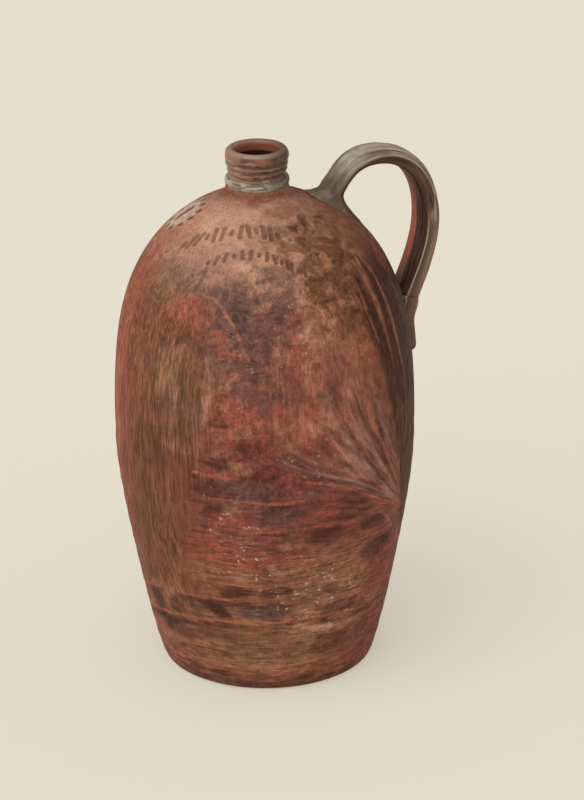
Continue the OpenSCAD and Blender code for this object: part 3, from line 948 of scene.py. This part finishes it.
def make_neck():
    """The collar with its rib lines, rolled lip and bore, turned finer than the frame's."""
    low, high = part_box("neck")
    outside = felt_outline("neck", 0.25 * MM)
    bore_r = felt_radius("neck", NECK_X, SEAT, inside=True)
    heights = np.arange(high.z - 0.1 * MM, high.z - 4 * MM, -0.25 * MM)
    mouth = [(felt_radius("neck", NECK_X, z, inside=True), float(z)) for z in heights]
    crest = ((outside[-1][0] + mouth[0][0]) / 2, high.z)
    profile = [
        (bore_r, low.z), (outside[0][0], low.z), *outside, crest, *mouth,
        *spread([mouth[-1], (bore_r, low.z)], 3 * MM)[1:],
    ]
    obj = turned("neck_collar", profile, NECK_STEPS)
    co = points_of(obj)
    above = ease((co[:, 2] - SEAT - 4 * MM) / (3 * MM))
    angle = np.arctan2(co[:, 1], co[:, 0])
    rise = (co[:, 2] - SEAT) / MM * math.tau / RIB_PITCH * 0.5
    rib = np.sin(rise + angle + 1.5 * wobble(co, 0.02, 8))
    press_out(obj, above * (0.18 * wobble(co, 0.012, 6) + 0.1 * wobble(co, 0.004, 7) + 0.12 * rib) * MM)
    return obj


def make_ring():
    """The coil of clay pressed round the joint, a little uneven from the fingers."""
    outside = felt_outline("neck_ring", 0.2 * MM)
    low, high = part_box("neck_ring")
    inner = felt_radius("neck_ring", NECK_X, low.z + MM, inside=True)
    skin = spread([(outside[0][0], low.z), *outside, (inner, high.z)], 0.3 * MM)
    obj = turned("neck_coil", [(inner, low.z), *skin, (inner, low.z)], NECK_STEPS)
    co = points_of(obj)
    angle = np.arctan2(co[:, 1], co[:, 0])
    outer = ease((np.hypot(co[:, 0], co[:, 1]) - inner) / (1.2 * MM))
    press_out(obj, outer * (0.22 * np.sin(3 * angle + 1) + 0.3 * wobble(co, 0.007, 9)) * MM)
    return obj


# Middle of the hole in the handle, from the strap's own box
strap_low, strap_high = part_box("handle")
HOLE = Vector(((strap_low.x + strap_high.x) / 2 - 0.002, 0, strap_high.z - 0.045))
# A point where more edges than this meet is the middle of a flat end
END_SPOKES = 30


def side_normals(obj, ends):
    """Point normals, without the flat ends' share in them along the joints."""
    co = points_of(obj)
    directions = normals_of(obj)
    for centre, facing in ends:
        away = co - centre
        at_end = (np.abs(away @ facing) < 3 * JOINT_SLIP) & (np.linalg.norm(away, axis=1) < 20 * MM)
        directions[at_end] -= (directions[at_end] @ facing)[:, None] * facing
    length = np.linalg.norm(directions, axis=1)
    return directions / np.maximum(length, 0.05)[:, None]


def strap_places(obj, directions):
    """For the strap's pieces: place across, share facing away from the hole, and turn round it."""
    co = points_of(obj)
    away = co - np.array(HOLE)
    away[:, 1] = 0
    length = np.linalg.norm(away, axis=1)
    facing = (directions * away).sum(1) / length
    around = np.arctan2(away[:, 2], away[:, 0])
    return np.c_[co[:, 1], facing, around]


def close_joints(obj):
    """Draws the flat ends out by the slip that holds them, and gives their places."""
    pairs = np.array([tuple(edge.vertices) for edge in obj.data.edges])
    hubs = np.flatnonzero(np.bincount(pairs.ravel()) > END_SPOKES)
    co = points_of(obj)
    directions = normals_of(obj)
    for hub in hubs:
        spokes = pairs[(pairs == hub).any(axis=1)]
        co[np.unique(spokes)] += directions[hub] * JOINT_SLIP
    move_points(obj, co)
    return [(co[hub], directions[hub]) for hub in hubs]


def shoulder_height(co):
    """Height of the shoulder under some points."""
    shoulder = OUTER[(OUTER[:, 1] > 0.2) & (OUTER[:, 0] > HOLE_R + 5 * MM)]
    return np.interp(np.hypot(co[:, 0], co[:, 1]), shoulder[::-1, 0], shoulder[::-1, 1])


def fill_corner(obj):
    """Smooths clay into the corner between the root and the strap, on the side of the neck."""
    co = points_of(obj)
    away = np.hypot(co[:, 0] - CORNER[0], co[:, 2] - CORNER[1])
    above = co[:, 2] - shoulder_height(co)
    fill = CORNER_FILL * np.exp(-((away / CORNER_REACH) ** 2)) * ease(above / (2 * MM))
    co[:, 0] -= 0.7 * fill
    co[:, 2] += 0.7 * fill
    move_points(obj, co)


def feather(obj):
    """Presses the rim of the root's wad down into the shoulder's surface."""
    co = points_of(obj)
    above = co[:, 2] - shoulder_height(co)
    sink = FEATHER * ease((3 * FEATHER - above) / (3 * FEATHER))
    co[:, 2] -= sink
    move_points(obj, co)
    return obj


def finish_strap(obj):
    """Smooths the facets, closes the hair's gap at the joints and roughens the pulled clay."""
    ends = close_joints(obj)
    edit(obj)
    bpy.ops.mesh.select_mode(type="EDGE")
    bpy.ops.mesh.select_all(action="DESELECT")
    bpy.ops.mesh.edges_select_sharp(sharpness=math.radians(38))
    bpy.ops.transform.edge_crease(value=1)
    leave()
    pick(obj)
    smoother = obj.modifiers.new("smoother", "SUBSURF")
    smoother.levels = smoother.render_levels = 1
    bpy.ops.object.modifier_apply(modifier=smoother.name)
    fill_corner(obj)
    co = points_of(obj)
    directions = side_normals(obj, ends)
    relief = STRAP_ROUGH * (wobble(co * (1, 2.2, 1), 0.018, 11) + 0.35 * wobble(co, 0.005, 12))
    store(obj, "strap", strap_places(obj, directions))
    move_points(obj, co + directions * relief[:, None])
    return obj


# Glazes
class Glaze:
    """A material under construction, with a short call for each kind of node."""

    def __init__(self, name):
        self.material = bpy.data.materials.new(name)
        self.material.use_nodes = True
        self.nodes = self.material.node_tree.nodes
        self.links = self.material.node_tree.links
        self.shader = self.nodes["Principled BSDF"]

    def put(self, socket, value):
        """Links a node's output to a socket, or sets its value: a colour as the eye sees it."""
        if isinstance(value, bpy.types.NodeSocket):
            self.links.new(value, socket)
        else:
            socket.default_value = (*linear(value), 1) if socket.type == "RGBA" else value

    def node(self, kind, inputs=(), output=0, **settings):
        made = self.nodes.new("ShaderNode" + kind)
        for name, value in settings.items():
            setattr(made, name, value)
        for key, value in dict(inputs).items():
            self.put(made.inputs[key], value)
        return made.outputs[output]

    def place(self):
        return self.node("TexCoord", output="Object")

    def layer(self, name, output="Vector"):
        return self.node("Attribute", output=output, attribute_name=name)

    def xyz(self, vector):
        return self.node("SeparateXYZ", {0: vector}).node.outputs

    def grain(self, vector, scale, detail=3, rough=0.55, twist=0, drawn=None):
        """Noise. A share under 1 in drawn draws it out along that axis."""
        if drawn:
            vector = self.node("Mapping", {"Vector": vector, "Scale": drawn})
        inputs = {"Vector": vector, "Scale": scale, "Detail": detail}
        inputs |= {"Roughness": rough, "Distortion": twist}
        return self.node("TexNoise", inputs, "Fac")

    def between(self, value, low, high, to_low=0, to_high=1):
        inputs = {"Value": value, "From Min": low, "From Max": high, "To Min": to_low, "To Max": to_high}
        return self.node("MapRange", inputs, interpolation_type="SMOOTHSTEP")

    def calc(self, kind, a, b):
        return self.node("Math", {0: a, 1: b}, operation=kind)

    def times(self, a, b):
        return self.calc("MULTIPLY", a, b)

    def plus(self, a, b):
        return self.calc("ADD", a, b)

    def minus(self, a, b):
        return self.calc("SUBTRACT", a, b)

    def length(self, a, b):
        """Length of the way that is a one way and b square to it."""
        way = self.node("CombineXYZ", {0: a, 1: b})
        return self.node("VectorMath", {0: way}, "Value", operation="LENGTH")

    def near(self, place, spot, inner, outer):
        """1 up to the inner distance in millimetres from a spot, 0 past the outer."""
        away = self.node("VectorMath", {0: place, 1: spot}, "Value", operation="DISTANCE")
        return self.between(away, outer * MM, inner * MM)

    def blend(self, share, a, b, how="MIX"):
        return self.node("Mix", {0: share, 6: a, 7: b}, 2, data_type="RGBA", blend_type=how)

    def over(self, colour, tint, value, start, full, strength=1):
        """Lays a tint over a colour where a value goes from start to full."""
        return self.blend(self.between(value, start, full, 0, strength), colour, tint)

    def relief(self, height, strength, depth):
        inputs = {"Strength": strength, "Distance": depth, "Height": height}
        return self.node("Bump", inputs, "Normal")

    def coat(self, finish):
        """Gives the shader its finish, and hands the material over."""
        for name, value in finish.items():
            self.put(self.shader.inputs[name], value)
        return self.material


# How the fine noises of the wall are drawn: along upright strokes, along level ones, or a little
UPRIGHT = (1, 1, 0.07)
UPRIGHT_BROAD = (1, 1, 0.12)
UPRIGHT_SPOT = (1, 1, 0.34)
LEVEL = (0.12, 0.12, 1)
LEVEL_SPOT = (0.3, 0.3, 0.95)
LEVEL_DASH = (0.4, 0.4, 1.5)

# Heights on the shoulder between which the tone grows calm, and the grit fades
CALM = (0.236, 0.262)
GRIT_FADE = (0.218, 0.25)

# Flecks in the order they are laid: colour, noise scale, twist and softness of their edges
FLECKS = [
    (TAN, 112, 0.6, 0.045),
    (OLIVE, 60, 0.5, 0.035),
    (SLATE, 74, 0.4, 0.035),
    (BRICK, 84, 0.6, 0.045),
]


def fan_spokes(g, arc, height):
    """Streaks that run together at one place on the right."""
    aside = g.minus(math.radians(MEET[0]) * BELLY_R, arc)
    up = g.minus(height, MEET[1] * MM)
    rays = g.node("CombineXYZ", {0: g.calc("ARCTAN2", up, aside), 1: g.times(g.length(aside, up), 4)})
    return g.grain(rays, 16, 4, 0.6)


def flecked(g, place, colour, shares, upright, level):
    """The glaze broken into flecks of other colours, each drawn out as the strokes lie."""
    for share, (tint, scale, twist, soft) in zip(shares, FLECKS):
        round_spot = g.grain(place, scale, 5, 0.66, twist)
        tall_spot = g.grain(place, scale, 5, 0.66, twist, UPRIGHT_SPOT)
        flat_spot = g.grain(place, scale, 5, 0.66, twist, LEVEL_SPOT)
        spot = g.blend(level, g.blend(upright, round_spot, tall_spot), flat_spot)
        cover = g.times(share, g.between(spot, 0.5 - soft, 0.5 + soft, 0, 0.85))
        colour = g.blend(cover, colour, tint)
    return colour


def gritty(g, place, colour, height, upright, level):
    """Dust, hairs and scratches over the colour, fainter on the shoulder."""
    dust = g.between(g.grain(place, 1050, 3, 0.75), 0.32, 0.68, 0.77, 1.25)
    hairs = g.between(g.grain(place, 780, 4, 0.75, 0.2, UPRIGHT), 0.4, 0.6, 0.68, 1.34)
    scratches = g.between(g.grain(place, 740, 4, 0.75, 0.3, LEVEL), 0.4, 0.6, 0.7, 1.33)
    grit = g.blend(g.times(level, 0.7), g.blend(upright, dust, hairs), scratches)
    return g.blend(g.between(height, *GRIT_FADE, 1, 0.4), colour, grit, "MULTIPLY")


def specked(g, place, colour, fine, speckle):
    """Light specks with ragged edges, and short level dashes."""
    ragged = g.node("VectorMath", {0: place, 1: g.times(fine, 2.4 * MM)}, operation="ADD")
    cells = g.node("TexVoronoi", {"Vector": ragged, "Scale": 250}, "Distance")
    chance = g.grain(place, 110, 3, 0.6)
    spot = g.times(g.between(cells, 0.24, 0.14), g.between(chance, 0.49, 0.56, 0, 0.9))
    dash = g.between(g.grain(place, 460, 3, 0.6, 1.2, LEVEL_DASH), 0.58, 0.66)
    spot = g.calc("MAXIMUM", spot, g.times(dash, g.between(chance, 0.46, 0.56, 0, 0.6)))
    return g.blend(g.times(spot, speckle), colour, SPECK)


def wall_glaze():
    """Salt glaze over brown slip: washes, mottling, brushed streaks, specks and orange peel."""
    g = Glaze("body_glaze")
    place = g.place()
    upright, level, fan = g.xyz(g.layer("lay"))
    red, speckle, burn = g.xyz(g.layer("fleck"))
    olive, tan, slate = g.xyz(g.layer("tints"))
    arc, height, outside = g.xyz(g.layer("spread"))

    patchy = g.grain(place, 210, 4, 0.6, 0.2)
    fine = g.grain(place, 620, 3, 0.6)
    up = g.grain(place, 620, 5, 0.65, 0.3, UPRIGHT)
    up = g.blend(0.45, up, g.grain(place, 240, 4, 0.6, 0.5, UPRIGHT_BROAD))
    tone = g.blend(0.36, patchy, fine)
    tone = g.blend(g.times(upright, 0.75), tone, up)
    tone = g.blend(g.times(level, 0.42), tone, g.grain(place, 460, 5, 0.65, 0.2, LEVEL))
    tone = g.blend(g.times(fan, 0.8), tone, fan_spokes(g, arc, height))
    calm = g.times(g.between(height, *CALM, 1, 0.66), g.between(upright, 0, 1, 1, 0.85))
    light = g.plus(g.times(g.between(tone, 0.34, 0.66, -0.4, 0.46), calm), 1)

    colour = flecked(g, place, g.layer("wash", "Color"), (tan, olive, slate, red), upright, level)
    colour = g.blend(1, colour, light, "MULTIPLY")
    colour = gritty(g, place, colour, height, upright, level)
    colour = specked(g, place, colour, fine, speckle)
    colour = g.blend(g.times(burn, 0.85), colour, BURNT)
    bare = g.blend(g.between(fine, 0.4, 0.6), BARE_DARK, BARE_LIGHT)
    peel = g.plus(g.times(fine, 0.6), g.times(patchy, 0.8))
    peel = g.plus(peel, g.times(tone, 0.5))
    return g.coat({
        "Base Color": g.blend(outside, bare, colour),
        "Roughness": g.between(tone, 0.3, 0.7, 0.72, 0.56),
        "Specular IOR Level": 0.15,
        "Normal": g.relief(peel, 0.35, 0.6 * MM),
    })


def toward(g, x, y, direction):
    """Distance of a place on the neck from its axis, along a level direction."""
    along = g.times(g.minus(x, NECK_X), math.cos(direction))
    return g.plus(along, g.times(y, math.sin(direction)))


# Heights on the collar: the crest of its top rib, its lip, where a highlight is painted, and the top of the
# bore, painted lighter over the painted shade deeper in
TOP_RIB = SEAT + 15.9 * MM
LIP = (SEAT + 18.4 * MM, SEAT + 20 * MM)
BORE_LIGHT = (SEAT + 14.2 * MM, SEAT + 16 * MM)


def collar_glaze():
    """Brown slip on the neck, wiped thin along the rib lines, with painted light on its left and painted
    shade towards the right.
    """
    g = Glaze("neck_glaze")
    place = g.place()
    x, y, z = g.xyz(place)
    across = g.grain(place, 620, 4, 0.6, drawn=(0.16, 0.16, 1))
    patchy = g.grain(place, 240, 4, 0.6, 0.3)
    warm = g.grain(place, 110, 4, 0.6, 0.5, (0.6, 0.6, 1))
    colour = g.blend(g.between(patchy, 0.4, 0.62), NECK_BROWN, NECK_DARK)
    colour = g.over(colour, NECK_WIPED, across, 0.52, 0.64, 0.7)
    colour = g.over(colour, NECK_GROOVE, across, 0.46, 0.34, 0.7)
    colour = g.over(colour, NECK_WARM, warm, 0.5, 0.6, 0.6)

    # Painted light on the crests of the rib lines and painted shade in their hollows
    drop = g.minus(TOP_RIB, z)
    wavy = g.plus(drop, g.times(g.minus(patchy, 0.5), 3 * MM))
    rib = g.calc("COSINE", g.times(wavy, math.tau / (RIB_PITCH * MM)), 0)
    below = g.between(drop, -1 * MM, 1 * MM)
    colour = g.blend(g.times(below, g.between(rib, 0.3, 1, 0, 0.5)), colour, RIB_HIGHLIGHT)
    colour = g.blend(g.times(below, g.between(rib, -0.2, -1, 0, 0.6)), colour, RIB_SHADE)
    # Painted highlight on the top of the lip
    colour = g.over(colour, LIP_HIGHLIGHT, z, *LIP, 0.75)
    side = toward(g, x, y, CAMERA_FACING + math.pi / 2)
    # Painted light on the left of the neck and painted shade on its right
    colour = g.over(colour, NECK_LIT_SIDE, side, -5 * MM, -15 * MM, 0.45)
    colour = g.over(colour, NECK_SHADE, side, 2 * MM, 15 * MM, 0.65)

    radius = g.length(g.minus(x, NECK_X), y)
    # Painted shade round the near inside of the mouth
    front = g.between(toward(g, x, y, CAMERA_FACING), -3 * MM, 1 * MM)
    mouth_shade = g.times(g.between(radius, 13.4 * MM, 12.7 * MM), front)
    colour = g.blend(g.times(mouth_shade, 0.9), colour, MOUTH_SHADE)
    colour = g.blend(g.times(g.between(radius, 15.4 * MM, 14.4 * MM), 0.5), colour, MOUTH_RIM)
    # Painted shade deep in the bore, and painted light on its top
    bore = g.blend(g.between(z, *BORE_LIGHT), BORE_SHADE, BORE_LIT_TOP)
    peel = g.plus(g.times(across, 0.8), g.times(g.grain(place, 900, 2), 0.4))
    return g.coat({
        "Base Color": g.over(colour, bore, radius, 12.6 * MM, 12.1 * MM),
        "Roughness": g.between(patchy, 0.3, 0.7, 0.5, 0.36),
        "Normal": g.relief(peel, 0.35, 0.5 * MM),
    })


def coil_clay():
    """Pale ash-coloured clay of the ring, with painted shade towards the right."""
    g = Glaze("ring_clay")
    place = g.place()
    x, y, _ = g.xyz(place)
    across = g.grain(place, 700, 3, 0.6, drawn=(0.2, 0.2, 1))
    side = toward(g, x, y, CAMERA_FACING + math.pi / 2)
    colour = g.blend(g.between(across, 0.42, 0.58), COIL_GREY, COIL_PALE)
    # Painted shade on the right of the ring
    colour = g.over(colour, COIL_SHADE, side, 0, 12 * MM, 0.7)
    colour = g.over(colour, COIL_BROWN, g.grain(place, 300, 4), 0.55, 0.68, 0.6)
    return g.coat({
        "Base Color": colour,
        "Roughness": g.between(across, 0.3, 0.7, 0.7, 0.5),
        "Normal": g.relief(across, 0.3, 0.5 * MM),
    })


# Heights on the strap between which grey turns tan, painted shade darkens the far side, salmon turns tan,
# the pale edge fades and the tail's bare clay begins
GREY_TO_TAN = (0.272, 0.235)
FAR_SIDE = (0.206, 0.24)
SALMON_TO_TAN = (0.229, 0.217)
PALE_EDGE_FADE = (0.262, 0.24)
TAIL_BARE = (0.204, 0.184)
# Places across it: the bare front edge and the pale line beside it; and how far out it is bare
BARE_EDGE = (-1.5 * MM, 0.5 * MM)
PALE_EDGE = (-6 * MM, -8 * MM)
BARE_FROM = (0.078, 0.086)
# Turns round the hole, in degrees, between which the crown begins and ends
CROWN = ((112, 78), (4, 30))
# Where ash gathered on the strap's bend, and the middle of the wad at its root
ASH_SPOT = (0.052, -0.004, 0.292)
WAD_SPOT = (0.042, -0.004, 0.268)


def outer_ash(g, place, z, facing, streak, broad):
    """Outer side of the strap: grey at the crown, tan lower down, bare clay at the tail."""
    cloudy = g.grain(place, 90, 4, 0.6, 0.3)
    lower = g.between(z, *GREY_TO_TAN)
    base = g.blend(lower, STRAP_GREY, STRAP_TAN)
    shade = g.blend(lower, STRAP_DARK, STRAP_UMBER)
    outer = g.over(shade, base, streak, 0.43, 0.55)
    pale = g.times(g.between(broad, 0.48, 0.58), g.between(lower, 0, 1, 0.65, 0.16))
    outer = g.blend(pale, outer, STRAP_LIGHT)
    # Painted shade on the outer side low down, turned from the light
    far = g.times(g.between(facing, 0.35, 0.95), g.times(lower, g.between(z, *FAR_SIDE)))
    outer = g.blend(g.times(far, 0.55), outer, STRAP_BROWN)
    outer = g.blend(g.times(g.near(place, ASH_SPOT, 3, 14), 0.55), outer, STRAP_ASH)
    outer = g.over(outer, shade, cloudy, 0.52, 0.64, 0.45)
    wad = g.blend(g.between(cloudy, 0.4, 0.6), STRAP_BROWN, WAD_PALE)
    outer = g.blend(g.times(g.near(place, WAD_SPOT, 11, 22), 0.85), outer, wad)
    clay = g.blend(g.between(streak, 0.4, 0.6), TAIL_DARK, TAIL_CLAY)
    return g.over(outer, clay, z, *TAIL_BARE, 0.85)


def hand_brown(g, x, z, across, streak, broad):
    """Side of the strap that faces the hole: brown, darkened with painted shade, with bare clay along its
    front edge.
    """
    hand = g.blend(g.between(streak, 0.42, 0.6), HAND_DARK, HAND_BROWN)
    bare = g.blend(g.between(broad, 0.4, 0.6), SALMON, SALMON_DEEP)
    bare = g.over(bare, EDGE_TAN, z, *SALMON_TO_TAN)
    edge = g.times(g.between(across, *BARE_EDGE), g.between(x, *BARE_FROM))
    return g.blend(edge, hand, bare)


def strap_glaze(name):
    """Ash glaze on the strap: streaks along it, brown with painted shade towards the hand, bare clay on one
    edge.
    """
    g = Glaze(name)
    place = g.place()
    x, _, z = g.xyz(place)
    across, facing, around = g.xyz(g.layer("strap"))
    run = g.node("CombineXYZ", {0: across, 1: g.times(facing, 7 * MM), 2: g.times(around, 2 * MM)})
    streak = g.grain(run, 640, 4, 0.62)
    broad = g.grain(run, 230, 3, 0.5)
    outer = outer_ash(g, place, z, facing, streak, broad)
    hand = hand_brown(g, x, z, across, streak, broad)

    left, right = (g.between(around, *map(math.radians, turns)) for turns in CROWN)
    turned_in = g.minus(facing, g.times(g.times(left, right), 0.42))
    colour = g.over(outer, hand, turned_in, 0.06, -0.22)
    lip = g.times(g.between(facing, -0.42, -0.3), g.between(facing, -0.14, -0.26))
    lip = g.times(lip, g.between(across, *PALE_EDGE))
    lip = g.times(lip, g.between(z, *PALE_EDGE_FADE))
    peel = g.plus(streak, g.times(g.grain(place, 800, 2), 0.4))
    return g.coat({
        "Base Color": g.blend(g.times(lip, 0.8), colour, EDGE_PALE),
        "Roughness": g.between(streak, 0.3, 0.7, 0.7, 0.5),
        "Specular IOR Level": 0.3,
        "Normal": g.relief(peel, 0.4, 0.6 * MM),
    })


def paper_floor():
    """Pale matt ground under the jug."""
    g = Glaze("pale_floor")
    g.coat({"Base Color": PAPER, "Roughness": 0.9, "Specular IOR Level": 0})
    glow = g.node("Emission", {"Color": PAPER, "Strength": 1})
    rays = g.node("LightPath").node.outputs
    seen = g.calc("MAXIMUM", rays["Is Camera Ray"], rays["Is Glossy Ray"])
    mix = g.node("MixShader", {0: g.times(seen, PAPER_GLOW), 1: g.shader.outputs[0], 2: glow})
    g.put(g.nodes["Material Output"].inputs["Surface"], mix)
    return g.material


def dress(obj, material, slot, *nodes):
    """Gives a finished piece its glaze and its body, and hides the CAD nodes that it stands for."""
    obj.data.materials.clear()
    obj.data.materials.append(material)
    pick(obj)
    bpy.ops.object.shade_smooth_by_angle(angle=math.radians(50))
    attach(obj, "root")
    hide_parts(*nodes)


def away_at(turn, rise):
    """Direction from the jug outwards, by its turn and rise in degrees."""
    a, e = math.radians(turn), math.radians(rise)
    return Vector((math.sin(a) * math.cos(e), -math.cos(a) * math.cos(e), math.sin(e)))


def make_key():
    """The studio's one soft lamp, high at the left."""
    lamp = bpy.data.lights.new("key", "SUN")
    lamp.energy = KEY
    lamp.angle = math.radians(KEY_SOFTNESS)
    lamp.color = KEY_TINT
    obj = bpy.data.objects.new("key", lamp)
    obj.rotation_euler = (-away_at(KEY_TURN, KEY_RISE)).to_track_quat("-Z", "Y").to_euler()
    bpy.context.scene.collection.objects.link(obj)


def make_stage():
    """The pale floor and the even light all round, dimmer in reflections."""
    deselect()
    bpy.ops.mesh.primitive_plane_add(size=30, location=(0, 0, 0))
    floor = bpy.context.object
    floor.name = "floor"
    floor.data.materials.append(paper_floor())
    world = bpy.data.worlds.new("studio")
    bpy.context.scene.world = world
    world.use_nodes = True
    nodes, links = world.node_tree.nodes, world.node_tree.links
    background = nodes["Background"]
    background.inputs["Color"].default_value = SKY
    ray = nodes.new("ShaderNodeLightPath")
    level = nodes.new("ShaderNodeMapRange")
    level.inputs["To Min"].default_value = AMBIENT
    level.inputs["To Max"].default_value = GLOSS_AMBIENT
    links.new(ray.outputs["Is Glossy Ray"], level.inputs["Value"])
    links.new(level.outputs[0], background.inputs["Strength"])


def make_camera():
    back = away_at(CAMERA_TURN, CAMERA_RISE)
    a = math.radians(CAMERA_TURN)
    right = Vector((math.cos(a), math.sin(a), 0))
    lens = bpy.data.cameras.new("camera")
    lens.sensor_width = SENSOR
    lens.lens = SENSOR / VIEW_HEIGHT * CAMERA_FAR
    camera = bpy.data.objects.new("camera", lens)
    bpy.context.scene.collection.objects.link(camera)
    camera.location = Vector((0, 0, CAMERA_AIM_HEIGHT)) + right * CAMERA_ASIDE + back * CAMERA_FAR
    facing = (-back).to_track_quat("-Z", "Y").to_matrix()
    roll = Matrix.Rotation(math.radians(CAMERA_ROLL), 3, "Z")
    camera.rotation_euler = (facing @ roll).to_euler()
    bpy.context.scene.camera = camera


make_camera()
body = make_body()
neck = make_neck()
ring = make_ring()
handle = finish_strap(copy_of("handle", "strap_handle"))
root = finish_strap(feather(copy_of("handle_root", "strap_root")))
tail = finish_strap(copy_of("handle_tail", "strap_tail"))

dress(body, wall_glaze(), "body_glaze", "body")
dress(neck, collar_glaze(), "neck_glaze", "neck")
dress(ring, coil_clay(), "ring_clay", "neck_ring")
dress(handle, strap_glaze("handle_glaze"), "handle_glaze", "handle")
dress(root, strap_glaze("root_glaze"), "root_glaze", "handle_root")
dress(tail, strap_glaze("tail_glaze"), "tail_glaze", "handle_tail")

make_stage()
make_key()
bpy.context.scene.view_settings.view_transform = "Standard"
